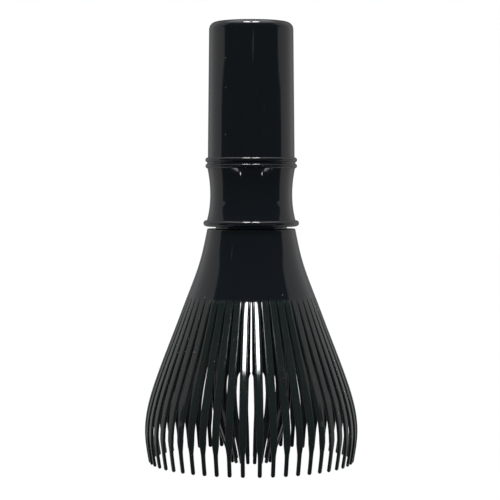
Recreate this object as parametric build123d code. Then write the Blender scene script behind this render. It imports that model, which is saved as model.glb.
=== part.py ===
"""Matcha whisk of moulded plastic, tines down: a hollow handle, a waist collar, and two tined heads.

The outer head is a bell whose lower part is split into tines. Its neck goes up into the waist
collar. The inner head hangs inside the bell on a stem, which goes up into the neck. A seal ring
on the neck and one on the stem grip these two push fits, so the whisk comes apart for washing.
Heights run up the whisk's axis from the tine tips, which stand on z = 0. Front is -Y.
"""
from build123d import *
import math
import os

# Whole whisk, mm
TOP_HEIGHT = 124.4

# Angles from +X: the front, and the flat in the neck's bore and on the stem, which faces the back
FRONT_ANGLE = -90.0
FLAT_ANGLE = 90.0

# Outer head: bell of revolution, (outside radius, height) from tip to shoulder. Tine widths are
# (height, width), and the slot at the front is a little wider than the others, which are equal.
BELL_OUTSIDE = [(29.2, 0.45), (30.2, 8.8), (27.15, 23.3), (21.35, 38.6), (18.2, 46.9), (14.45, 57.3), (12.6, 65.4)]
BELL_TIP_WALL = 0.8
BELL_TOP_WALL = 2.3
BELL_TOP = 66.2
BELL_EDGE = 0.6
BELL_CEILING = 63.0
OUTER_TINES = 50
FRONT_SLOT_DEGREES = 9.0
OUTER_SLOT_TOP = 46.9
OUTER_TINE_WIDTHS = [(46.9, 2.0), (36.5, 2.2), (24.5, 2.2), (12.5, 2.0), (8.5, 1.95), (5.7, 1.15)]
OUTER_TIP_WIDTH = 1.15
OUTER_BLADE_REACH = (14.0, 35.0)

# Neck of the outer head: a wide lower step with the seal groove, a narrow upper step with two keys
NECK_RADIUS = 10.1
NECK_STEP = 72.5
NECK_UPPER_RADIUS = 8.3
NECK_TOP = 82.2
NECK_BORE = 5.0
NECK_BORE_STEP = 71.5
NECK_UPPER_BORE = 4.3
NECK_FLAT = 3.6
NECK_FLAT_WIDTH = 8.0
KEY_REACH = 9.1
KEY_WIDTH = 2.0
KEY_SPAN = (73.7, 80.9)

# Inner head: a narrower bell of tines under a flange, and a stem with a flat that keeps it from turning
CORE_OUTSIDE = [(6.45, 0.45), (7.55, 4.2), (10.4, 12.5), (11.45, 20.5), (9.5, 37.5), (8.3, 52.5)]
CORE_TIP_WALL = 0.8
CORE_TOP_WALL = 1.2
CORE_FLANGE_RADIUS = 9.5
CORE_FLANGE = (60.7, 62.9)
CORE_CEILING = 60.1
INNER_TINES = 20
INNER_SLOT_TOP = 26.5
INNER_TINE_WIDTHS = [(26.5, 2.0), (21.5, 1.5), (9.0, 1.4), (1.6, 1.0)]
INNER_TIP_WIDTH = 1.0
INNER_BLADE_REACH = (3.0, 15.0)
STEM_TOP = 80.9
STEM_STEP = 71.4
STEM_CORE = 2.8
CORE_CAP = 2.0

# Seal rings, drawn as squeezed in their grooves
SEAL_GAP = 0.03
NECK_GROOVE = (68.8, 70.7)
NECK_GROOVE_RADIUS = 8.95
STEM_GROOVE = (65.7, 67.5)
STEM_GROOVE_RADIUS = 3.8
SEAL_HALF_HEIGHT = 0.72

# Waist collar: lower bead, hollowed waist, upper bead, and a spigot up into the barrel
COLLAR_BOTTOM = 66.8
LOWER_BEAD = [(12.65, 66.85), (13.55, 67.67), (12.55, 68.55)]
WAIST = [(12.55, 68.55), (11.75, 72.9), (11.61, 76.0), (11.79, 79.4), (12.39, 83.2)]
UPPER_BEAD = [(12.39, 83.2), (12.97, 83.85), (12.51, 84.5)]
COLLAR_SHOULDER = 84.7
SPIGOT_RADIUS = 10.1
SPIGOT_TOP = 92.5
SPIGOT_BORE = 7.6
COLLAR_STOP = 82.7
FIT_GAP = 0.08
SEAT_GAP = 0.05

# Barrel: rim bead, slightly tapered wall, rounded closed top
BARREL_RIM = [(12.51, 84.9), (12.99, 85.6), (12.27, 86.3)]
BARREL_TOP_RADIUS = 11.9
BARREL_TOP_ROUND = 2.1
BARREL_BORE = 10.15
BARREL_BORE_TOP = 9.7
BARREL_CEILING = 122.4
BARREL_BEVEL = 1.0

CHAMFER = 0.5

# How far a cutting or joining solid runs past the faces it meets, and a box larger than the whisk
OVERRUN = 1.0
CUT_BOX = 100.0


def path(points):
    """Straight edges through a list of (radius, height) points."""
    return [Line(a, b) for a, b in zip(points, points[1:])]


def turned(edges):
    """Solid of revolution about Z from closed edges in the (radius, height) plane."""
    return revolve(Plane.XZ * make_face(edges), Axis.Z)


def ring(low, high, inner, outer):
    """Plain round tube between two heights."""
    return turned(path([(inner, low), (outer, low), (outer, high), (inner, high), (inner, low)]))


def bar(x_span, width, z_span):
    """Box along X, centred on Y = 0."""
    length = x_span[1] - x_span[0]
    height = z_span[1] - z_span[0]
    middle = (sum(x_span) / 2, 0, sum(z_span) / 2)
    return Pos(*middle) * Box(length, width, height)


def bell_skins(points, tip_wall, top_wall):
    """Outside curve of a bell, tip first, and its inside curve, one wall inwards along the normal."""
    outside = Spline(*points)
    inside_points = []
    steps = len(points)
    for k in range(steps + 1):
        share = k / steps
        tangent = outside % share
        wall = tip_wall + (top_wall - tip_wall) * share ** 2
        inwards = Vector(-tangent.Y, tangent.X)
        inside_points.append(outside @ share + inwards * wall)
    return outside, Spline(*inside_points)


def tip_round(outside, inside):
    """Round end that closes a bell's wall at z = 0."""
    middle = (outside @ 0 + inside @ 0) / 2
    return ThreePointArc(inside @ 0, Vector(middle.X, 0), outside @ 0)


def blade(widths, tip_width, reach):
    """Radial blade along +X with one tine's front outline: widths at heights, and a round tip."""
    tip = tip_width / 2
    right = [(width / 2, height) for height, width in widths] + [(tip, tip)]
    left = [(-x, z) for x, z in reversed(right)]
    edges = path(right) + [ThreePointArc((tip, tip), (0, 0), (-tip, tip))] + path(left)
    edges.append(Line(left[-1], right[0]))
    return extrude(Plane.YZ.offset(reach[0]) * make_face(edges), reach[1] - reach[0])


def tined(bell, tine_blade, angles, slot_top):
    """The bell with everything below slot_top split into tines at the given angles from +X."""
    below = Pos(0, 0, slot_top - CUT_BOX / 2) * Box(CUT_BOX, CUT_BOX, CUT_BOX)
    lower = bell & below
    crown = bell - below
    tine = lower & tine_blade
    return crown + [Rot(0, 0, angle) * tine for angle in angles]


def groove_path(wall, bottom, span):
    """Outline of a square seal groove, going up a wall."""
    return [(wall, span[0]), (bottom, span[0]), (bottom, span[1]), (wall, span[1])]


def outer_tine_head():
    """Bell with the outer tines, and the stepped neck with its bore, seal groove and keys."""
    outside, inside = bell_skins(BELL_OUTSIDE, BELL_TIP_WALL, BELL_TOP_WALL)
    shoulder = outside @ 1
    rim = (shoulder.X - BELL_EDGE, BELL_TOP)
    corner = BELL_EDGE * (1 - math.sqrt(0.5))
    rim_middle = (shoulder.X - corner, BELL_TOP - corner)
    under = inside @ 1
    profile = [outside, ThreePointArc((shoulder.X, shoulder.Y), rim_middle, rim)]
    profile += path(
        [rim, (NECK_RADIUS, BELL_TOP)]
        + groove_path(NECK_RADIUS, NECK_GROOVE_RADIUS, NECK_GROOVE)
        + [
            (NECK_RADIUS, NECK_STEP),
            (NECK_UPPER_RADIUS, NECK_STEP),
            (NECK_UPPER_RADIUS, NECK_TOP - CHAMFER),
            (NECK_UPPER_RADIUS - CHAMFER, NECK_TOP),
            (NECK_UPPER_BORE, NECK_TOP),
            (NECK_UPPER_BORE, NECK_BORE_STEP),
            (NECK_BORE, NECK_BORE_STEP),
            (NECK_BORE, BELL_CEILING),
            (under.X, BELL_CEILING),
            (under.X, under.Y),
        ]
    )
    profile += [inside, tip_round(outside, inside)]
    tine_blade = blade(OUTER_TINE_WIDTHS, OUTER_TIP_WIDTH, OUTER_BLADE_REACH)
    first_angle = FRONT_ANGLE + FRONT_SLOT_DEGREES / 2
    step = (360 - FRONT_SLOT_DEGREES) / (OUTER_TINES - 1)
    angles = [first_angle + k * step for k in range(OUTER_TINES)]
    head = tined(turned(profile), tine_blade, angles, OUTER_SLOT_TOP)
    flat_reach = NECK_UPPER_BORE + OVERRUN
    flat = bar((NECK_FLAT, flat_reach), NECK_FLAT_WIDTH, (NECK_BORE_STEP, NECK_TOP - CHAMFER))
    flat &= ring(NECK_BORE_STEP, NECK_TOP, 0, flat_reach)
    flat = Rot(0, 0, FLAT_ANGLE) * flat
    keys = bar((-KEY_REACH, KEY_REACH), KEY_WIDTH, KEY_SPAN)
    hollow = NECK_UPPER_RADIUS - OVERRUN
    keys -= ring(KEY_SPAN[0] - OVERRUN, KEY_SPAN[1] + OVERRUN, 0, hollow)
    return head + flat + keys


def inner_tine_head():
    """Inner tines under a flange, hanging from a hollow stem with a seal groove and a flat."""
    outside, inside = bell_skins(CORE_OUTSIDE, CORE_TIP_WALL, CORE_TOP_WALL)
    hub = outside @ 1
    under = inside @ 1
    stem = NECK_BORE - FIT_GAP
    upper_stem = NECK_UPPER_BORE - FIT_GAP
    profile = [outside]
    profile += path(
        [
            (hub.X, hub.Y),
            (CORE_FLANGE_RADIUS, CORE_FLANGE[0]),
            (CORE_FLANGE_RADIUS, CORE_FLANGE[1]),
            (stem, CORE_FLANGE[1]),
        ]
        + groove_path(stem, STEM_GROOVE_RADIUS, STEM_GROOVE)
        + [
            (stem, STEM_STEP),
            (upper_stem, STEM_STEP),
            (upper_stem, STEM_TOP - CHAMFER),
            (upper_stem - CHAMFER, STEM_TOP),
            (0, STEM_TOP),
            (0, STEM_TOP - CORE_CAP),
            (STEM_CORE, STEM_TOP - CORE_CAP),
            (STEM_CORE, CORE_CEILING),
            (under.X, CORE_CEILING),
            (under.X, under.Y),
        ]
    )
    profile += [inside, tip_round(outside, inside)]
    tine_blade = blade(INNER_TINE_WIDTHS, INNER_TIP_WIDTH, INNER_BLADE_REACH)
    step = 360 / INNER_TINES
    angles = [FRONT_ANGLE + (k + 0.5) * step for k in range(INNER_TINES)]
    head = tined(turned(profile), tine_blade, angles, INNER_SLOT_TOP)
    flat = NECK_FLAT - FIT_GAP
    beyond_flat = bar((flat, NECK_BORE), 2 * NECK_BORE, (STEM_STEP, STEM_TOP + OVERRUN))
    return head - Rot(0, 0, FLAT_ANGLE) * beyond_flat


def seal_ring(groove, groove_radius, reach):
    """Rubber ring squeezed between the bottom of its groove and the wall it grips."""
    inner = groove_radius + SEAL_GAP
    outer = reach - SEAL_GAP
    middle = ((inner + outer) / 2, sum(groove) / 2)
    section = Pos(*middle) * Ellipse((outer - inner) / 2, SEAL_HALF_HEIGHT)
    return revolve(Plane.XZ * section, Axis.Z)


def waist_collar():
    """Waisted sleeve between two beads, keyed bore for the neck, spigot for the barrel."""
    bore = NECK_RADIUS + FIT_GAP
    upper_bore = NECK_UPPER_RADIUS + FIT_GAP
    step = NECK_STEP + SEAT_GAP
    profile = path([(bore, COLLAR_BOTTOM), (LOWER_BEAD[0][0], COLLAR_BOTTOM), LOWER_BEAD[0]])
    profile += [ThreePointArc(*LOWER_BEAD), Spline(*WAIST), ThreePointArc(*UPPER_BEAD)]
    profile += path(
        [
            UPPER_BEAD[-1],
            (UPPER_BEAD[-1][0], COLLAR_SHOULDER),
            (SPIGOT_RADIUS, COLLAR_SHOULDER),
            (SPIGOT_RADIUS, SPIGOT_TOP - CHAMFER),
            (SPIGOT_RADIUS - CHAMFER, SPIGOT_TOP),
            (SPIGOT_BORE, SPIGOT_TOP),
            (SPIGOT_BORE, COLLAR_STOP),
            (upper_bore, COLLAR_STOP),
            (upper_bore, step),
            (bore, step),
            (bore, COLLAR_BOTTOM),
        ]
    )
    reach = KEY_REACH + FIT_GAP
    keyways = bar((-reach, reach), KEY_WIDTH + 2 * FIT_GAP, (step - OVERRUN, COLLAR_STOP))
    return turned(profile) - keyways


def handle_barrel():
    """Hollow handle tube with a bead at its rim and a closed, rounded top."""
    bottom = COLLAR_SHOULDER + SEAT_GAP
    start_round = TOP_HEIGHT - BARREL_TOP_ROUND
    inner = BARREL_TOP_RADIUS - BARREL_TOP_ROUND
    corner = BARREL_TOP_ROUND * (1 - math.sqrt(0.5))
    top_middle = (BARREL_TOP_RADIUS - corner, TOP_HEIGHT - corner)
    top_arc = [(BARREL_TOP_RADIUS, start_round), top_middle, (inner, TOP_HEIGHT)]
    profile = path([(BARREL_BORE, bottom), (BARREL_RIM[0][0], bottom), BARREL_RIM[0]])
    profile += [ThreePointArc(*BARREL_RIM), Line(BARREL_RIM[-1], top_arc[0]), ThreePointArc(*top_arc)]
    profile += path(
        [
            top_arc[-1],
            (0, TOP_HEIGHT),
            (0, BARREL_CEILING),
            (BARREL_BORE_TOP - BARREL_BEVEL, BARREL_CEILING),
            (BARREL_BORE_TOP, BARREL_CEILING - BARREL_BEVEL),
            (BARREL_BORE, SPIGOT_TOP + OVERRUN),
            (BARREL_BORE, bottom),
        ]
    )
    return turned(profile)


def main():
    """Write each piece as parts/NODE.step."""
    pieces = {
        "handle_barrel": handle_barrel(),
        "waist_collar": waist_collar(),
        "neck_seal_ring": seal_ring(NECK_GROOVE, NECK_GROOVE_RADIUS, NECK_RADIUS + FIT_GAP),
        "outer_tine_head": outer_tine_head(),
        "stem_seal_ring": seal_ring(STEM_GROOVE, STEM_GROOVE_RADIUS, NECK_BORE),
        "inner_tine_head": inner_tine_head(),
    }
    os.makedirs("parts", exist_ok=True)
    for name, shape in pieces.items():
        export_step(shape, f"parts/{name}.step")


main()
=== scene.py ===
"""Looks of a moulded matcha whisk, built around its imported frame.

The handle barrel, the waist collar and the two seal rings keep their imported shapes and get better
materials. The two tined heads are built again as fine meshes with rounded tines. All lengths are
in metres, in the frame's own axes: Z runs up the whisk, and the front is -Y.
"""

import logging
import math
from dataclasses import dataclass, replace
from enum import Enum

import bpy
import numpy as np
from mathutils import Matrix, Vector


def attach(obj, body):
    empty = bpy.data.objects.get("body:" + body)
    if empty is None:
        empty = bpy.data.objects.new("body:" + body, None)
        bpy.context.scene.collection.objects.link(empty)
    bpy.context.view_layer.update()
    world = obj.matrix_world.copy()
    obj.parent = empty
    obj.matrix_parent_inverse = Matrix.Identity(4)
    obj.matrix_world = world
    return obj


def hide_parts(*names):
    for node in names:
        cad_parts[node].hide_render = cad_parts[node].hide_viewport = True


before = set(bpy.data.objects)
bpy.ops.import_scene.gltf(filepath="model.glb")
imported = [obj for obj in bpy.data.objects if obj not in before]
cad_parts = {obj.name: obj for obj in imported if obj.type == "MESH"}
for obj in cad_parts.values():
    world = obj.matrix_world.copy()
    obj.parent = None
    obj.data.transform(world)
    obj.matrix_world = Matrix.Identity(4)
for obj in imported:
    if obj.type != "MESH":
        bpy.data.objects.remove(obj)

MM = 0.001
log = logging.getLogger("whisk")


# ---------------------------------------------------------------- curves and grids


@dataclass(frozen=True)
class SmoothCurve:
    """Natural cubic curve through a few (radius, height) points, spaced by chord length."""

    points: tuple[tuple[float, float], ...]

    def _solve(self) -> tuple[np.ndarray, np.ndarray, np.ndarray]:
        """Works out knots, points and bends. The bends solve the usual three-term spline equations.

        Returns:
            The knots, the points and the second derivatives at the knots.
        """
        p = np.array(self.points, float)
        steps = np.linalg.norm(np.diff(p, axis=0), axis=1)
        knots = np.concatenate([[0.0], np.cumsum(steps)])
        n = len(p)
        matrix = np.eye(n)
        rows = np.arange(1, n - 1)
        matrix[rows, rows - 1] = steps[:-1] / 6
        matrix[rows, rows] = (steps[:-1] + steps[1:]) / 3
        matrix[rows, rows + 1] = steps[1:] / 6
        right = np.zeros_like(p)
        slopes = np.diff(p, axis=0) / steps[:, None]
        right[1:-1] = np.diff(slopes, axis=0)
        return knots, p, np.linalg.solve(matrix, right)

    def at(self, share: np.ndarray) -> tuple[np.ndarray, np.ndarray]:
        """Points and unit tangents at shares of the length.

        Args:
            share: numbers from 0 at the first point to 1 at the last.

        Returns:
            Points and tangents, each one row per share.
        """
        knots, p, bends = self._solve()
        t = np.asarray(share, float) * knots[-1]
        k = np.clip(np.searchsorted(knots, t, side="right") - 1, 0, len(knots) - 2)
        h = (knots[k + 1] - knots[k])[:, None]
        a = (knots[k + 1] - t)[:, None] / h
        b = 1 - a
        cubic_a, cubic_b = (a**3 - a) * h**2 / 6, (b**3 - b) * h**2 / 6
        place = a * p[k] + b * p[k + 1] + cubic_a * bends[k] + cubic_b * bends[k + 1]
        slope = (p[k + 1] - p[k]) / h
        slope += (3 * b**2 - 1) * h / 6 * bends[k + 1] - (3 * a**2 - 1) * h / 6 * bends[k]
        return place, slope / np.linalg.norm(slope, axis=1, keepdims=True)


def softened(
    corners: np.ndarray, reach: float | np.ndarray, steps: int = 4, share: float = 0.45
) -> np.ndarray:
    """Polyline whose inner corners are rounded by parabolas that start reach before each corner.

    Args:
        corners: (radius, height) points.
        reach: how far from a corner its round starts, for all corners or for each.
        steps: stretches in each round.
        share: the most of a corner's shorter side that its round may take.

    Returns:
        The rounded outline's points, its two ends unchanged.
    """
    sides = np.diff(corners, axis=0)
    lengths = np.linalg.norm(sides, axis=1)
    cut = np.minimum(reach, share * np.minimum(lengths[:-1], lengths[1:]))[:, None]
    before = corners[1:-1] - sides[:-1] / lengths[:-1, None] * cut
    after = corners[1:-1] + sides[1:] / lengths[1:, None] * cut
    t = np.linspace(0, 1, steps + 1)[None, :, None]
    rounds = (1 - t) ** 2 * before[:, None] + 2 * t * (1 - t) * corners[1:-1, None]
    rounds = rounds + t**2 * after[:, None]
    return np.concatenate([corners[:1], rounds.reshape(-1, 2), corners[-1:]])


def grid_quads(index: np.ndarray) -> np.ndarray:
    """Quads over a grid of vertex numbers that closes round: its last column joins its first.

    Each quad takes (row, column), the next column, and the same two in the next row.

    Args:
        index: vertex numbers, rows by columns.

    Returns:
        One row of four vertex numbers for each quad.
    """
    index = np.concatenate([index, index[:, :1]], axis=1)
    corners = [index[:-1, :-1], index[:-1, 1:], index[1:, 1:], index[1:, :-1]]
    return np.stack(corners, axis=-1).reshape(-1, 4)


def turned_points(profile: np.ndarray, angles: np.ndarray) -> np.ndarray:
    """Surface of revolution: each profile point goes round Z through the given angles.

    Args:
        profile: (radius, height) rows.
        angles: radians, one row of angles for each profile point, or one row for all.

    Returns:
        Points, profile rows by angles by 3.
    """
    radius = profile[:, :1]
    height = np.broadcast_to(profile[:, 1:], (len(profile), angles.shape[-1]))
    return np.stack([radius * np.cos(angles), radius * np.sin(angles), height], axis=-1)


def new_piece(name: str, points: np.ndarray, faces: list, sharp_degrees: float) -> bpy.types.Object:
    """Mesh object at the origin, smooth but for edges sharper than an angle.

    Args:
        name: the object's name.
        points: vertices in metres, one row each.
        faces: lists of vertex numbers.
        sharp_degrees: edges that turn more than this stay sharp.

    Returns:
        The new object, linked into the scene.
    """
    mesh = bpy.data.meshes.new(name)
    mesh.from_pydata(points.tolist(), [], faces)
    mesh.validate()
    mesh.polygons.foreach_set("use_smooth", [True] * len(mesh.polygons))
    mesh.set_sharp_from_angle(angle=math.radians(sharp_degrees))
    mesh.update()
    piece = bpy.data.objects.new(name, mesh)
    bpy.context.scene.collection.objects.link(piece)
    return piece


# ---------------------------------------------------------------- shader effects


def add_socket(group: bpy.types.NodeTree, name: str, way: str, kind: str, value: object = None) -> None:
    """One named socket on a node group.

    Args:
        group: the node group.
        name: the socket's name.
        way: INPUT or OUTPUT.
        kind: the socket's Blender type.
        value: an input's usual value.
    """
    socket = group.interface.new_socket(name=name, in_out=way, socket_type=kind)
    if value is not None:
        socket.default_value = value


@dataclass(frozen=True)
class NodeKit:
    """Adds and links shader nodes in one tree, so that an effect reads as a short recipe."""

    tree: bpy.types.NodeTree

    def add(self, kind: str, inputs: dict | None = None, **settings: object) -> bpy.types.Node:
        """One node with its settings and its inputs.

        Args:
            kind: the node's Blender type.
            inputs: input name or number to a value, or to the output that feeds it.
            settings: the node's own settings.

        Returns:
            The node.
        """
        node = self.tree.nodes.new(kind)
        for key, value in settings.items():
            setattr(node, key, value)
        for key, value in (inputs or {}).items():
            if isinstance(value, bpy.types.NodeSocket):
                self.tree.links.new(value, node.inputs[key])
            else:
                node.inputs[key].default_value = value
        return node

    def math(self, operation: str, a: object, b: object = 0.0, c: object = 0.0) -> bpy.types.NodeSocket:
        """Result of one Math node, a, b and c each a number or an output."""
        return self.add("ShaderNodeMath", {0: a, 1: b, 2: c}, operation=operation).outputs[0]

    def blend(self, amount: object, first: object, second: object) -> bpy.types.NodeSocket:
        """Colour that goes from first to second as the amount goes from 0 to 1."""
        return self.add("ShaderNodeMix", {0: amount, 6: first, 7: second}, data_type="RGBA").outputs[2]

    def band(self, value: object, low: object, high: object) -> bpy.types.NodeSocket:
        """Smooth ramp from 0 at low to 1 at high.

        Args:
            value: what the ramp reads.
            low: where the ramp is 0.
            high: where the ramp is 1, which may be less than low.

        Returns:
            The ramp's output.
        """
        inputs = {"Value": value, "From Min": low, "From Max": high}
        node = self.add("ShaderNodeMapRange", inputs, interpolation_type="SMOOTHSTEP")
        return node.outputs["Result"]


class Effect(Enum):
    """The surface effects that the finishes share, each one node group."""

    SCRATCHES = "lengthwise_scratches"
    RIPPLE = "moulding_ripple"
    DUST = "settled_dust"

    def group(self) -> bpy.types.NodeTree:
        """The effect's node group, built the first time it is asked for.

        Returns:
            The node group.
        """
        found = bpy.data.node_groups.get(self.value)
        if found:
            return found
        tree = bpy.data.node_groups.new(self.value, "ShaderNodeTree")
        builder = {
            Effect.SCRATCHES: build_scratches,
            Effect.RIPPLE: build_ripple,
            Effect.DUST: build_dust,
        }[self]
        builder(tree)
        return tree


def build_scratches(tree: bpy.types.NodeTree) -> None:
    """Fine scratches that run along the whisk: noise squeezed round the axis and drawn out along Z.

    Noise is read at (angle about the axis, height), each scaled down, and its peaks are the scratches.
    A second noise keeps them in patches.

    Args:
        tree: the empty node group.
    """
    round_step, long_step = 0.012, 0.03
    peak, softness = 0.78, 0.04
    patch_scale, patch_start, patch_full = 90.0, 0.45, 0.7
    add_socket(tree, "Fineness", "INPUT", "NodeSocketFloat", 900.0)
    add_socket(tree, "Share", "INPUT", "NodeSocketFloat", 0.1)
    add_socket(tree, "Mask", "OUTPUT", "NodeSocketFloat")
    kit = NodeKit(tree)
    given = kit.add("NodeGroupInput").outputs
    place = kit.add("ShaderNodeTexCoord").outputs["Object"]
    apart = kit.add("ShaderNodeSeparateXYZ", {0: place}).outputs
    turn = kit.math("ARCTAN2", apart["Y"], apart["X"])
    round_way = kit.math("MULTIPLY", turn, round_step)
    along = kit.math("MULTIPLY", apart["Z"], long_step)
    drawn = kit.add("ShaderNodeCombineXYZ", {0: round_way, 1: along, 2: 0.0}).outputs[0]
    lines = kit.add("ShaderNodeTexNoise", {"Vector": drawn, "Scale": given["Fineness"], "Detail": 2.0})
    patches = kit.add("ShaderNodeTexNoise", {"Vector": place, "Scale": patch_scale, "Detail": 1.0})
    least = kit.math("SUBTRACT", peak, given["Share"])
    line = kit.band(lines.outputs[0], least, kit.math("ADD", least, softness))
    patch = kit.band(patches.outputs[0], patch_start, patch_full)
    mask = kit.math("MULTIPLY", line, patch)
    kit.add("NodeGroupOutput", {"Mask": mask})


def build_ripple(tree: bpy.types.NodeTree) -> None:
    """Slow waviness that a moulded wall keeps as it cools, as a height: one coarse noise.

    Args:
        tree: the empty node group.
    """
    add_socket(tree, "Scale", "INPUT", "NodeSocketFloat", 60.0)
    add_socket(tree, "Height", "OUTPUT", "NodeSocketFloat")
    kit = NodeKit(tree)
    given = kit.add("NodeGroupInput").outputs
    place = kit.add("ShaderNodeTexCoord").outputs["Object"]
    wave = kit.add("ShaderNodeTexNoise", {"Vector": place, "Scale": given["Scale"], "Detail": 1.0})
    kit.add("NodeGroupOutput", {"Height": wave.outputs[0]})


def build_dust(tree: bpy.types.NodeTree) -> None:
    """Dust specks: a Voronoi cell is kept now and then, and a soft dot drawn at its centre.

    Args:
        tree: the empty node group.
    """
    dot_edge, dot_heart = 0.22, 0.08
    add_socket(tree, "Scale", "INPUT", "NodeSocketFloat", 700.0)
    add_socket(tree, "Share", "INPUT", "NodeSocketFloat", 0.03)
    add_socket(tree, "Mask", "OUTPUT", "NodeSocketFloat")
    kit = NodeKit(tree)
    given = kit.add("NodeGroupInput").outputs
    place = kit.add("ShaderNodeTexCoord").outputs["Object"]
    cells = kit.add("ShaderNodeTexVoronoi", {"Vector": place, "Scale": given["Scale"]}).outputs
    near = kit.band(cells["Distance"], dot_edge, dot_heart)
    pick = kit.add("ShaderNodeSeparateColor", {0: cells["Color"]}).outputs[0]
    kept = kit.math("LESS_THAN", pick, given["Share"])
    kit.add("NodeGroupOutput", {"Mask": kit.math("MULTIPLY", near, kept)})


# ---------------------------------------------------------------- finishes


@dataclass(frozen=True)
class GlossPlastic:
    """Polished black moulding: near-mirror gloss, a slow ripple, fine scratches and a little dust."""

    name: str
    colour: tuple[float, float, float] = (0.0042, 0.0055, 0.0080)
    worn: tuple[float, float, float] = (0.030, 0.032, 0.032)
    dust: tuple[float, float, float] = (0.16, 0.16, 0.155)
    ior: float = 1.49
    polish: float = 0.055
    scratch_share: float = 0.10
    scratch_roughness: float = 0.16
    scratch_depth: float = 0.25
    scratch_reach: float = 0.00002
    ripple_depth: float = 0.02
    ripple_reach: float = 0.004
    dust_share: float = 0.02
    dust_cover: float = 0.55
    dust_roughness: float = 0.5

    def material(self) -> bpy.types.Material:
        """Builds the finish.

        Scratches are paler, rougher and cut in a little. Dust covers them. The ripple and the
        scratches are two bumps, one on the other.

        Returns:
            The material.
        """
        made = bpy.data.materials.new(self.name)
        made.use_nodes = True
        kit = NodeKit(made.node_tree)
        shader = made.node_tree.nodes["Principled BSDF"]
        shader.inputs["IOR"].default_value = self.ior
        scratches = kit.add("ShaderNodeGroup", node_tree=Effect.SCRATCHES.group())
        scratches.inputs["Share"].default_value = self.scratch_share
        dust = kit.add("ShaderNodeGroup", node_tree=Effect.DUST.group())
        dust.inputs["Share"].default_value = self.dust_share
        ripple = kit.add("ShaderNodeGroup", node_tree=Effect.RIPPLE.group())
        links = made.node_tree.links
        scratched = kit.blend(scratches.outputs["Mask"], (*self.colour, 1.0), (*self.worn, 1.0))
        cover = kit.math("MULTIPLY", dust.outputs["Mask"], self.dust_cover)
        links.new(kit.blend(cover, scratched, (*self.dust, 1.0)), shader.inputs["Base Color"])
        rough = kit.math("MULTIPLY_ADD", scratches.outputs["Mask"], self.scratch_roughness, self.polish)
        rough = kit.math("MULTIPLY_ADD", dust.outputs["Mask"], self.dust_roughness, rough)
        links.new(rough, shader.inputs["Roughness"])
        bump = kit.add("ShaderNodeBump", {"Height": ripple.outputs["Height"]})
        bump.inputs["Strength"].default_value = self.ripple_depth
        bump.inputs["Distance"].default_value = self.ripple_reach
        cut = kit.add("ShaderNodeBump", {"Height": scratches.outputs["Mask"], "Normal": bump.outputs[0]})
        cut.inputs["Strength"].default_value = self.scratch_depth
        cut.inputs["Distance"].default_value = self.scratch_reach
        cut.invert = True
        links.new(cut.outputs[0], shader.inputs["Normal"])
        return made


@dataclass(frozen=True)
class SealRubber:
    """Matt black rubber with a fine grain."""

    name: str
    colour: tuple[float, float, float] = (0.02, 0.02, 0.021)
    paler: float = 1.7
    grain: float = 2600.0
    grain_depth: float = 0.2
    grain_reach: float = 0.0001
    roughness: float = 0.5
    roughness_span: float = 0.2

    def material(self) -> bpy.types.Material:
        """Builds the finish.

        Returns:
            The material.
        """
        made = bpy.data.materials.new(self.name)
        made.use_nodes = True
        kit = NodeKit(made.node_tree)
        shader = made.node_tree.nodes["Principled BSDF"]
        place = kit.add("ShaderNodeTexCoord").outputs["Object"]
        noise = kit.add("ShaderNodeTexNoise", {"Vector": place, "Scale": self.grain, "Detail": 3.0})
        links = made.node_tree.links
        pale = tuple(c * self.paler for c in self.colour)
        mix = kit.blend(noise.outputs[0], (*self.colour, 1.0), (*pale, 1.0))
        links.new(mix, shader.inputs["Base Color"])
        rough = kit.math("MULTIPLY_ADD", noise.outputs[0], self.roughness_span, self.roughness)
        links.new(rough, shader.inputs["Roughness"])
        bump = kit.add("ShaderNodeBump", {"Height": noise.outputs[0]})
        bump.inputs["Strength"].default_value = self.grain_depth
        bump.inputs["Distance"].default_value = self.grain_reach
        links.new(bump.outputs[0], shader.inputs["Normal"])
        return made


# ---------------------------------------------------------------- pieces


@dataclass(frozen=True)
class Wall:
    """A bell's wall: its outside curve, tip first, and its thickness, which grows with the square."""

    outside: SmoothCurve
    tip_wall: float
    top_wall: float
    below_tip: float = 0.02
    height_samples: int = 2400
    tip_span: float = 0.03
    tip_samples: int = 200
    length_samples: int = 400

    def skins(self, share: np.ndarray) -> tuple[np.ndarray, np.ndarray]:
        """Outside points and, one wall inwards along the normal, inside points.

        Args:
            share: shares of the curve's length, a little below 0 past the tip.

        Returns:
            Outside and inside (radius, height) rows.
        """
        place, tangent = self.outside.at(share)
        inwards = np.stack([-tangent[:, 1], tangent[:, 0]], axis=1)
        wall = self.tip_wall + (self.top_wall - self.tip_wall) * np.clip(share, 0, 1) ** 2
        return place, place + inwards * wall[:, None]

    def share_at(self, height: float) -> float:
        """Share of the outside curve at a height."""
        dense = np.linspace(-self.below_tip, 1, self.height_samples)
        return float(np.interp(height, self.outside.at(dense)[0][:, 1], dense))

    def tip_share(self) -> float:
        """Finds where the middle of the wall comes down to height 0.

        Returns:
            The share of the outside curve there, just below 0.
        """
        dense = np.linspace(-self.tip_span, self.tip_span, self.tip_samples)
        outer, inner = self.skins(dense)
        return float(np.interp(0, (outer + inner)[:, 1] / 2, dense))

    def length(self) -> float:
        """Length of the outside curve, as the sum of many short steps."""
        place = self.outside.at(np.linspace(0, 1, self.length_samples))[0]
        return float(np.linalg.norm(np.diff(place, axis=0), axis=1).sum())


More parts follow.
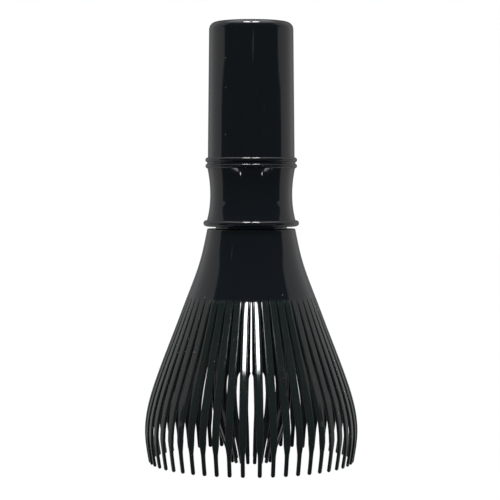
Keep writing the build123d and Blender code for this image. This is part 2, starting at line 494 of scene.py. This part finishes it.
@dataclass(frozen=True)
class Tines:
    """How a bell is split: flat tines with rounded edges, (height, width) pairs, and round tips.

    Lengths are in millimetres and angles in degrees. Towards the root, over root_run, the edges
    sharpen from edge to root_edge, and each tine's end goes root_depth up into the bell.
    """

    count: int
    front_gap: float
    widths: tuple[tuple[float, float], ...]
    tip_width: float
    slot_top: float
    edge: float = 0.32
    root_edge: float = 0.06
    flat_columns: int = 5
    edge_steps: int = 4
    stations: int = 36
    cap_start: float = 8.0
    cap_steps: int = 7
    root_run: float = 7.0
    root_depth: float = 0.8
    root_scale: float = 0.8

    def section(self) -> tuple[np.ndarray, np.ndarray]:
        """Unit outline of a tine's section: corner centres and the unit arms that go round them.

        Returns:
            Centres and arms, each (across, outwards) rows: the front flat left to right, then round.
        """
        spread = np.linspace(-1, 1, self.flat_columns)
        step = math.pi / 2 / self.edge_steps
        turn = math.pi / 2 - np.arange(1, self.edge_steps + 1) * step
        turn = np.concatenate([turn, turn - math.pi / 2 + step])
        front = np.stack([spread, np.ones_like(spread)], axis=1)
        up = np.tile([0.0, 1.0], (self.flat_columns, 1))
        side_arms = np.stack([np.cos(turn), np.sin(turn)], axis=1)
        side_centres = np.repeat([[1.0, 1.0], [1.0, -1.0]], self.edge_steps, axis=0)
        centres = np.concatenate([front, side_centres, -front, -side_centres])
        return centres, np.concatenate([up, side_arms, -up, -side_arms])

    def angles(self) -> np.ndarray:
        """Angle of each tine about the axis, in radians: all gaps are equal but the front one."""
        step = (360 - self.front_gap) / (self.count - 1)
        return np.radians(-90 + self.front_gap / 2 + step * np.arange(self.count))

    def widths_at(self, height: np.ndarray) -> np.ndarray:
        """Full width of a tine at each height."""
        known = np.array(self.widths[::-1])
        return np.interp(height, known[:, 0], known[:, 1])


class ClosedMesh:
    """Collects grids of points into one mesh of closed shells, in millimetres."""

    def __init__(self) -> None:
        """Starts with no points and no faces."""
        self.points: list[np.ndarray] = []
        self.faces: list = []
        self.total = 0

    def add(self, points: np.ndarray) -> np.ndarray:
        """Keeps a grid of points that closes round, and its quads.

        Args:
            points: rows by columns by 3.

        Returns:
            The grid's vertex numbers.
        """
        flat = points.reshape(-1, 3)
        index = np.arange(self.total, self.total + len(flat)).reshape(points.shape[:-1])
        self.points.append(flat)
        self.total += len(flat)
        self.faces += grid_quads(index).tolist()
        return index

    def tube(self, points: np.ndarray) -> None:
        """Adds a closed grid of rings and a lid at each end.

        Args:
            points: rings by points round each ring by 3.
        """
        index = self.add(points)
        self.faces.append(index[0, ::-1].tolist())
        self.faces.append(index[-1].tolist())

    def piece(self, name: str, sharp_degrees: float) -> bpy.types.Object:
        """The mesh object, in metres."""
        return new_piece(name, np.concatenate(self.points) * MM, self.faces, sharp_degrees)


@dataclass(frozen=True)
class NeckKeys:
    """Two small round-edged bars that stand out of a neck at +X and -X."""

    start: float
    end: float
    width: float
    low: float
    high: float
    corner: float = 0.18

    def build_into(self, mesh: ClosedMesh, section: tuple[np.ndarray, np.ndarray]) -> None:
        """Carries the rounded section up each bar, drawn in a little at both ends.

        Args:
            mesh: the mesh that takes the bars.
            section: unit outline of a rounded section.
        """
        centres, arms = section
        corner = self.corner
        eased = 0.3
        inset = corner * np.array([1, eased, 0, 0, eased, 1])
        rise = corner * np.array([0, eased, 1])
        height = np.concatenate([self.low + rise, self.high - rise[::-1]])
        half_u, half_n = self.width / 2 - inset, (self.end - self.start) / 2 - inset
        u = np.outer(half_u - corner, centres[:, 0]) + corner * arms[:, 0]
        n = np.outer(half_n - corner, centres[:, 1]) + corner * arms[:, 1] + (self.start + self.end) / 2
        bar = np.stack([n, u, np.broadcast_to(height[:, None], n.shape)], axis=-1)
        for side in (1, -1):
            mesh.tube(bar * [side, side, 1])


@dataclass(frozen=True)
class TinedHead:
    """One head: a bell with a crown that closes it over the top, and the ring of tines below it.

    The crown and the hollow are (radius, height) corners in millimetres: the crown goes up the
    outside, and the hollow comes back down the inside. The flat is the plane's y, low and high.
    """

    name: str
    node: str
    body: str
    slot: str
    wall: Wall
    tines: Tines
    crown: tuple[tuple[float, float], ...]
    hollow: tuple[tuple[float, float], ...]
    crown_reach: float = 0.14
    rim_reach: float = 0.14
    shell_rows: int = 26
    columns: int = 240
    bell_sharp: float = 38.0
    tine_sharp: float = 50.0
    flat: tuple[float, float, float] | None = None
    keys: NeckKeys | None = None

    def tine_rings(self) -> np.ndarray:
        """All tines: a rounded flat section carried up the middle of the wall, scaled to 0 at the tip.

        A point lies at middle + outwards * n along the wall's normal and u across. Near the root the
        flat face bends back to the circle of the bell above, and the root's end goes into the bell.

        Returns:
            Points in millimetres, tines by stations by section points by 3.
        """
        shape = self.tines
        low, high = self.wall.tip_share(), self.wall.share_at(shape.slot_top)
        length = self.wall.length()
        cap = shape.tip_width / 2
        turn = np.radians(np.linspace(shape.cap_start, 90, shape.cap_steps))
        reach = (high - low) * length
        away = np.concatenate([cap * (1 - np.cos(turn)), np.linspace(cap, reach, shape.stations)[1:]])
        away = np.append(away, reach + shape.root_depth)
        scale = np.concatenate([np.sin(turn), np.ones(shape.stations - 1), [shape.root_scale]])
        outer, inner = self.wall.skins(low + away / length)
        middle = (outer + inner) / 2
        half_wall = np.linalg.norm(outer - inner, axis=1) / 2
        normal = (outer - inner) / (2 * half_wall[:, None])
        half = shape.widths_at(middle[:, 1]) / 2 * scale
        near_root = np.clip((away - reach) / shape.root_run + 1, 0, 1)
        near_root = near_root**2 * (3 - 2 * near_root)
        edge = (shape.edge + (shape.root_edge - shape.edge) * near_root) * scale
        centres, arms = shape.section()
        half_wall = half_wall * scale
        u = np.outer(half - edge, centres[:, 0]) + np.outer(edge, arms[:, 0])
        n = np.outer(half_wall - edge, centres[:, 1]) + np.outer(edge, arms[:, 1])
        radius = middle[:, :1] + n * normal[:, :1]
        height = middle[:, 1:] + n * normal[:, 1:]
        radius = radius - (radius - np.sqrt(radius**2 - u**2)) * near_root[:, None]
        turn = shape.angles()[:, None, None]
        x = radius * np.cos(turn) - u * np.sin(turn)
        y = radius * np.sin(turn) + u * np.cos(turn)
        return np.stack([x, y, np.broadcast_to(height, x.shape)], axis=-1)

    def profile(self) -> tuple[np.ndarray, np.ndarray]:
        """Outline of the bell above the slots: up the outside and the crown, and the hollow's way down.

        Returns:
            The outer outline, and the inner one, both as (radius, height) rows.
        """
        share = np.linspace(self.wall.share_at(self.tines.slot_top), 1, self.shell_rows)
        outer, inner = self.wall.skins(share)
        over = np.array([outer[-1], *self.crown])
        reach = np.full(len(over) - 2, self.crown_reach)
        reach[0] = self.rim_reach
        up = np.concatenate([outer, softened(over, reach)[1:]])
        down = softened(np.array([*self.hollow, inner[-1]]), self.crown_reach)
        return up, np.concatenate([down, inner[-2::-1]])

    def bell(self) -> ClosedMesh:
        """Turns the outline about Z. Where there is a flat, points past its plane move onto it.

        Returns:
            The bell's closed mesh: one ring of rings, or two lidded ones where the crown is closed.
        """
        mesh = ClosedMesh()
        up, down = self.profile()
        through = np.allclose(up[-1], down[0])
        rows = np.concatenate([up, down[1:] if through else down])
        angles = np.arange(self.columns) * math.tau / self.columns
        points = turned_points(rows, angles[None])
        if self.flat:
            plane, low, high = self.flat
            beside = (rows[:, 1] > low) & (rows[:, 1] < high)
            points[beside, :, 1] = np.minimum(points[beside, :, 1], plane)
        index = mesh.add(points)
        mesh.faces += grid_quads(index[[-1, 0]]).tolist()
        if not through:
            top = len(up)
            bridge = {tuple(face) for face in grid_quads(index[[top - 1, top]]).tolist()}
            mesh.faces = [face for face in mesh.faces if tuple(face) not in bridge]
            mesh.faces += [index[top - 1].tolist(), index[top, ::-1].tolist()]
        if self.keys:
            self.keys.build_into(mesh, self.tines.section())
        return mesh

    def ring(self) -> ClosedMesh:
        """Makes each tine a closed tube of its own.

        Returns:
            The ring of tines' mesh.
        """
        mesh = ClosedMesh()
        for rings in self.tine_rings():
            mesh.tube(rings)
        return mesh

    def build(
        self, bell_finish: bpy.types.Material, tine_finish: bpy.types.Material
    ) -> list[bpy.types.Object]:
        """Makes the bell and its tines, dresses them and puts them in their node's place.

        Args:
            bell_finish: material of the bell.
            tine_finish: material of the tines.

        Returns:
            The bell and the ring of tines.
        """
        bell = self.bell().piece(f"{self.name}_bell", self.bell_sharp)
        bell.data.materials.append(bell_finish)
        ring = self.ring().piece(f"{self.name}_tines", self.tine_sharp)
        ring.data.materials.append(tine_finish)
        for piece in (bell, ring):
            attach(piece, self.body)
            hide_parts(self.node)
        return [bell, ring]


@dataclass(frozen=True)
class KeptNode:
    """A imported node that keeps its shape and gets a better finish."""

    node: str

    def dress(self, finish: bpy.types.Material) -> bpy.types.Object:
        """Puts the finish into every material slot of the node.

        Args:
            finish: the material.

        Returns:
            The node's object.
        """
        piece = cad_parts[self.node]
        if not piece.material_slots:
            piece.data.materials.append(finish)
        for held in piece.material_slots:
            held.material = finish
        return piece


# ---------------------------------------------------------------- studio


class Lit(Enum):
    """What a studio light falls on."""

    ALL = "every piece"
    TINES = "outer tines"
    CORE = "inner bell"
    COLLAR = "waist collar"


@dataclass(frozen=True)
class SoftBox:
    """An oval studio light that faces a point on the axis, unseen by the camera itself.

    Angles are degrees from the front and above the horizon, and lengths are in metres.
    """

    name: str
    azimuth: float
    elevation: float
    width: float
    height: float
    radiance: float
    aim: float
    lit: Lit = Lit.ALL
    distance: float = 1.2
    colour: tuple[float, float, float] = (1.0, 1.0, 1.0)

    def on_side(self, side: int, word: str) -> "SoftBox":
        """The same light on the right (1) or the left (-1), named after its side."""
        return replace(self, name=f"{self.name}_{word}", azimuth=side * self.azimuth)

    def place(self, pieces: dict[Lit, bpy.types.Object]) -> None:
        """Hangs the light, facing its point.

        A flat light's watts are its radiance times pi times its area, and an oval is pi / 4 of its box.

        Args:
            pieces: the one piece for each choice but ALL.
        """
        lamp = bpy.data.lights.new(self.name, "AREA")
        lamp.shape = "ELLIPSE"
        lamp.size, lamp.size_y = self.width, self.height
        lamp.color = self.colour
        lamp.energy = self.radiance * math.pi * self.width * self.height * math.pi / 4
        turn, rise = math.radians(self.azimuth), math.radians(self.elevation)
        way = Vector((math.sin(turn) * math.cos(rise), -math.cos(turn) * math.cos(rise), math.sin(rise)))
        held = bpy.data.objects.new(self.name, lamp)
        held.location = Vector((0, 0, self.aim)) + way * self.distance
        held.rotation_euler = (-way).to_track_quat("-Z", "Y").to_euler()
        held.visible_camera = False
        bpy.context.scene.collection.objects.link(held)
        if self.lit in pieces:
            receivers = bpy.data.collections.new(f"{self.name}_lit")
            receivers.objects.link(pieces[self.lit])
            held.light_linking.receiver_collection = receivers


PAIRED_LIGHTS = (
    SoftBox("tall", 9.2, 40.0, 0.085, 0.27, 42.0, 0.036, Lit.TINES, colour=(0.95, 1.0, 1.0)),
    SoftBox("high", 25.0, 72.0, 0.30, 0.15, 60.0, 0.09),
    SoftBox("under", 50.0, -20.5, 0.62, 0.032, 4.5, 0.082, Lit.COLLAR),
    SoftBox("spark", 29.5, -18.0, 0.04, 0.05, 22.0, 0.081, Lit.COLLAR),
)
LOW_STRIP = SoftBox("low_strip", 0.0, 9.5, 0.20, 0.27, 42.0, 0.04, Lit.CORE)


@dataclass(frozen=True)
class FrontEdge:
    """Where the dim front of the surroundings ends, as the cosine of the level angle from the front.

    The edge is at level on the horizon. It goes up by narrowing over the rise, a little above the
    horizon, comes back over the fall, and goes up by higher over the climb.
    """

    level: float = 0.06
    narrowing: float = 0.16
    higher: float = 0.15
    softness: float = 0.05
    rise: tuple[float, float] = (0.060, 0.088)
    fall: tuple[float, float] = (0.105, 0.16)
    climb: tuple[float, float] = (0.20, 0.45)

    def share(self, kit: NodeKit, front: object, height: object) -> bpy.types.NodeSocket:
        """0 in the dim front and 1 beyond its edge.

        Args:
            kit: nodes of the world.
            front: cosine of the level angle from the front.
            height: height of the unit direction.

        Returns:
            The share's output.
        """
        edge = kit.math("MULTIPLY_ADD", kit.band(height, *self.rise), self.narrowing, self.level)
        edge = kit.math("MULTIPLY_ADD", kit.band(height, *self.fall), -self.narrowing, edge)
        edge = kit.math("MULTIPLY_ADD", kit.band(height, *self.climb), self.higher, edge)
        dim_from = kit.math("ADD", edge, self.softness)
        return kit.band(front, dim_from, kit.math("SUBTRACT", edge, self.softness))


@dataclass(frozen=True)
class Studio:
    """Pale floor, surroundings that are dim in front, the small lights and the camera.

    Each pair named from is a ramp: where it starts and where it is full.
    """

    camera_distance: float = 0.4982
    camera_height: float = 0.0799
    camera_aside: float = -0.00035
    aim_height: float = 0.0601
    lens: float = 126.7
    sensor: float = 36.0
    surround: float = 0.62
    behind: float = 0.22
    behind_from: tuple[float, float] = (-0.70, -0.98)
    front_glow: tuple[float, float, float] = (0.105, 0.135, 0.150)
    front_edge: FrontEdge = FrontEdge()
    ceiling: float = 2.2
    ceiling_from: tuple[float, float] = (0.72, 0.95)
    floor_size: float = 3.0
    floor_grey: float = 0.22
    floor_glow: float = 1.06
    floor_glow_share: float = 0.94

    def camera(self) -> None:
        """Long lens a little above the middle of the whisk, tipped slightly down."""
        data = bpy.data.cameras.new("camera")
        data.lens, data.sensor_width = self.lens, self.sensor
        held = bpy.data.objects.new("camera", data)
        held.location = (self.camera_aside, -self.camera_distance, self.camera_height)
        way = Vector((self.camera_aside, 0, self.aim_height)) - held.location
        held.rotation_euler = way.to_track_quat("-Z", "Y").to_euler()
        bpy.context.scene.collection.objects.link(held)
        bpy.context.scene.camera = held

    def surroundings(self) -> None:
        """World that is plain white to look at, and to the whisk is a dim front between bright sides.

        With c the cosine of the level angle from the front, the glow is dim for c above the front
        edge, full below it, and falls to a lower glow straight behind. Overhead it is brightest.
        """
        world = bpy.data.worlds.new("studio")
        world.use_nodes = True
        world.node_tree.nodes.clear()
        kit = NodeKit(world.node_tree)
        way = kit.add("ShaderNodeTexCoord").outputs["Generated"]
        apart = kit.add("ShaderNodeSeparateXYZ", {0: way}).outputs
        level = kit.add("ShaderNodeCombineXYZ", {0: apart["X"], 1: apart["Y"], 2: 0.0}).outputs[0]
        level = kit.add("ShaderNodeVectorMath", {0: level}, operation="NORMALIZE").outputs[0]
        front = kit.math("MULTIPLY", kit.add("ShaderNodeSeparateXYZ", {0: level}).outputs["Y"], -1.0)
        share = self.front_edge.share(kit, front, apart["Z"])
        far = kit.band(front, *self.behind_from)
        bright = kit.math("MULTIPLY_ADD", far, self.behind - self.surround, self.surround)
        around = kit.blend(share, (*self.front_glow, 1.0), bright)
        overhead = kit.band(apart["Z"], *self.ceiling_from)
        glow = kit.blend(overhead, around, (self.ceiling, self.ceiling, self.ceiling, 1.0))
        lit = kit.add("ShaderNodeBackground", {"Color": glow, "Strength": 1.0})
        seen = kit.add("ShaderNodeBackground", {"Color": (1, 1, 1, 1), "Strength": 1.0})
        looked = kit.add("ShaderNodeLightPath").outputs["Is Camera Ray"]
        mix = kit.add("ShaderNodeMixShader", {0: looked, 1: lit.outputs[0], 2: seen.outputs[0]})
        kit.add("ShaderNodeOutputWorld", {"Surface": mix.outputs[0]})
        bpy.context.scene.world = world

    def floor(self) -> None:
        """Plain pale floor, white to look at but for a faint shadow, and clear to every other ray."""
        half = self.floor_size / 2
        corners = np.array([[-half, -half, 0], [half, -half, 0], [half, half, 0], [-half, half, 0]])
        piece = new_piece("floor", corners, [[0, 1, 2, 3]], sharp_degrees=30.0)
        made = bpy.data.materials.new("pale_floor")
        made.use_nodes = True
        made.node_tree.nodes.clear()
        kit = NodeKit(made.node_tree)
        grey = self.floor_grey
        matt = kit.add("ShaderNodeBsdfDiffuse", {"Color": (grey, grey, grey, 1)})
        pale = kit.add("ShaderNodeEmission", {"Color": (1, 1, 1, 1), "Strength": self.floor_glow})
        looked = kit.add("ShaderNodeLightPath").outputs["Is Camera Ray"]
        share = self.floor_glow_share
        seen = kit.add("ShaderNodeMixShader", {0: share, 1: matt.outputs[0], 2: pale.outputs[0]})
        clear = kit.add("ShaderNodeBsdfTransparent")
        mix = kit.add("ShaderNodeMixShader", {0: looked, 1: clear.outputs[0], 2: seen.outputs[0]})
        kit.add("ShaderNodeOutputMaterial", {"Surface": mix.outputs[0]})
        piece.data.materials.append(made)

    def build(self, pieces: dict[Lit, bpy.types.Object]) -> None:
        """Sets the whole studio up.

        Args:
            pieces: the pieces that have lights of their own.
        """
        bpy.context.scene.view_settings.view_transform = "Standard"
        self.surroundings()
        self.floor()
        for side, word in ((-1, "left"), (1, "right")):
            for light in PAIRED_LIGHTS:
                light.on_side(side, word).place(pieces)
        LOW_STRIP.place(pieces)
        self.camera()


# ---------------------------------------------------------------- the whisk


def outer_head() -> TinedHead:
    """Outer head: the tined bell and its stepped neck, with a seal groove, two keys and a bore.

    Returns:
        The head's description, in millimetres.
    """
    bell = ((29.2, 0.45), (30.2, 8.8), (27.15, 23.3), (21.35, 38.6), (18.2, 46.9), (14.45, 57.3))
    bell += ((12.6, 65.4),)
    wall = Wall(SmoothCurve(bell), 0.8, 2.3)
    under = wall.skins(np.array([1.0]))[1][0]
    crown = ((12.48, 66.2), (10.1, 66.2), (10.1, 68.8), (8.95, 68.8), (8.95, 70.7), (10.1, 70.7))
    crown += ((10.1, 72.5), (8.3, 72.5), (8.3, 81.7), (7.8, 82.2), (4.3, 82.2), (4.3, 76.5))
    hollow = ((4.3, 76.5), (4.3, 71.5), (5.0, 71.5), (5.0, 63.0), (float(under[0]), 63.0))
    widths = ((46.9, 2.0), (36.5, 2.2), (24.5, 2.2), (12.5, 2.0), (8.5, 1.95), (5.7, 1.15))
    return TinedHead(
        name="outer_head",
        node="outer_tine_head",
        body="outer_head",
        slot="tine_black",
        wall=wall,
        tines=Tines(50, 9.0, widths, 1.15, 46.9),
        crown=crown,
        hollow=hollow,
        rim_reach=0.36,
        keys=NeckKeys(8.0, 9.1, 2.0, 73.7, 80.9),
    )


def inner_head() -> TinedHead:
    """Inner head: the narrow ring of tines under a flange, and its stem with a groove and a flat.

    Returns:
        The head's description, in millimetres.
    """
    core = ((6.45, 0.45), (7.55, 4.2), (10.4, 12.5), (11.45, 20.5), (9.5, 37.5), (8.3, 52.5))
    wall = Wall(SmoothCurve(core), 0.8, 1.2)
    widths = ((26.5, 3.2), (25.8, 2.5), (24.6, 2.0), (21.5, 1.55), (9.0, 1.4), (1.6, 1.0))
    under = wall.skins(np.array([1.0]))[1][0]
    crown = ((9.5, 60.7), (9.5, 62.9), (4.92, 62.9), (4.92, 65.7), (3.8, 65.7), (3.8, 67.5))
    crown += ((4.92, 67.5), (4.92, 71.4), (4.22, 71.4), (4.22, 80.4), (3.72, 80.9), (0.05, 80.9))
    hollow = ((0.05, 78.9), (2.8, 78.9), (2.8, 60.1), (float(under[0]), 60.1))
    return TinedHead(
        name="inner_head",
        node="inner_tine_head",
        body="inner_head",
        slot="tine_black",
        wall=wall,
        tines=Tines(20, 18.0, widths, 1.0, 26.5, edge=0.25, stations=30),
        crown=crown,
        hollow=hollow,
        columns=160,
        flat=(3.52, 71.45, 81.5),
    )


def main() -> None:
    """Builds the whisk piece by piece, then the studio."""
    logging.basicConfig(level=logging.INFO, format="%(name)s: %(message)s")
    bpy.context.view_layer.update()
    barrel_black = GlossPlastic("barrel_black", scratch_share=0.14).material()
    collar_black = GlossPlastic("collar_black").material()
    bell_black = GlossPlastic("bell_black", scratch_share=0.05).material()
    # The tines are one moulding with the bell, so their paler, greener black is painted light: it lifts
    # the tines to a brighter tone.
    tine_colour_with_painted_light = (0.0065, 0.0092, 0.0085)
    tine_black = GlossPlastic("tine_black", tine_colour_with_painted_light, scratch_share=0.02, ripple_depth=0.0).material()
    rubber = SealRubber("seal_rubber").material()
    barrel = KeptNode("handle_barrel").dress(barrel_black)
    collar = KeptNode("waist_collar").dress(collar_black)
    seals = [KeptNode(name).dress(rubber) for name in ("neck_seal_ring", "stem_seal_ring")]
    outer_bell, outer_tines = outer_head().build(bell_black, tine_black)
    inner_bell, inner_tines = inner_head().build(bell_black, tine_black)
    for piece in (barrel, collar, *seals, outer_bell, outer_tines, inner_bell, inner_tines):
        log.info("%s: %d faces", piece.name, len(piece.data.polygons))
    Studio().build({Lit.TINES: outer_tines, Lit.CORE: inner_bell, Lit.COLLAR: collar})


if __name__ == "__main__":
    main()
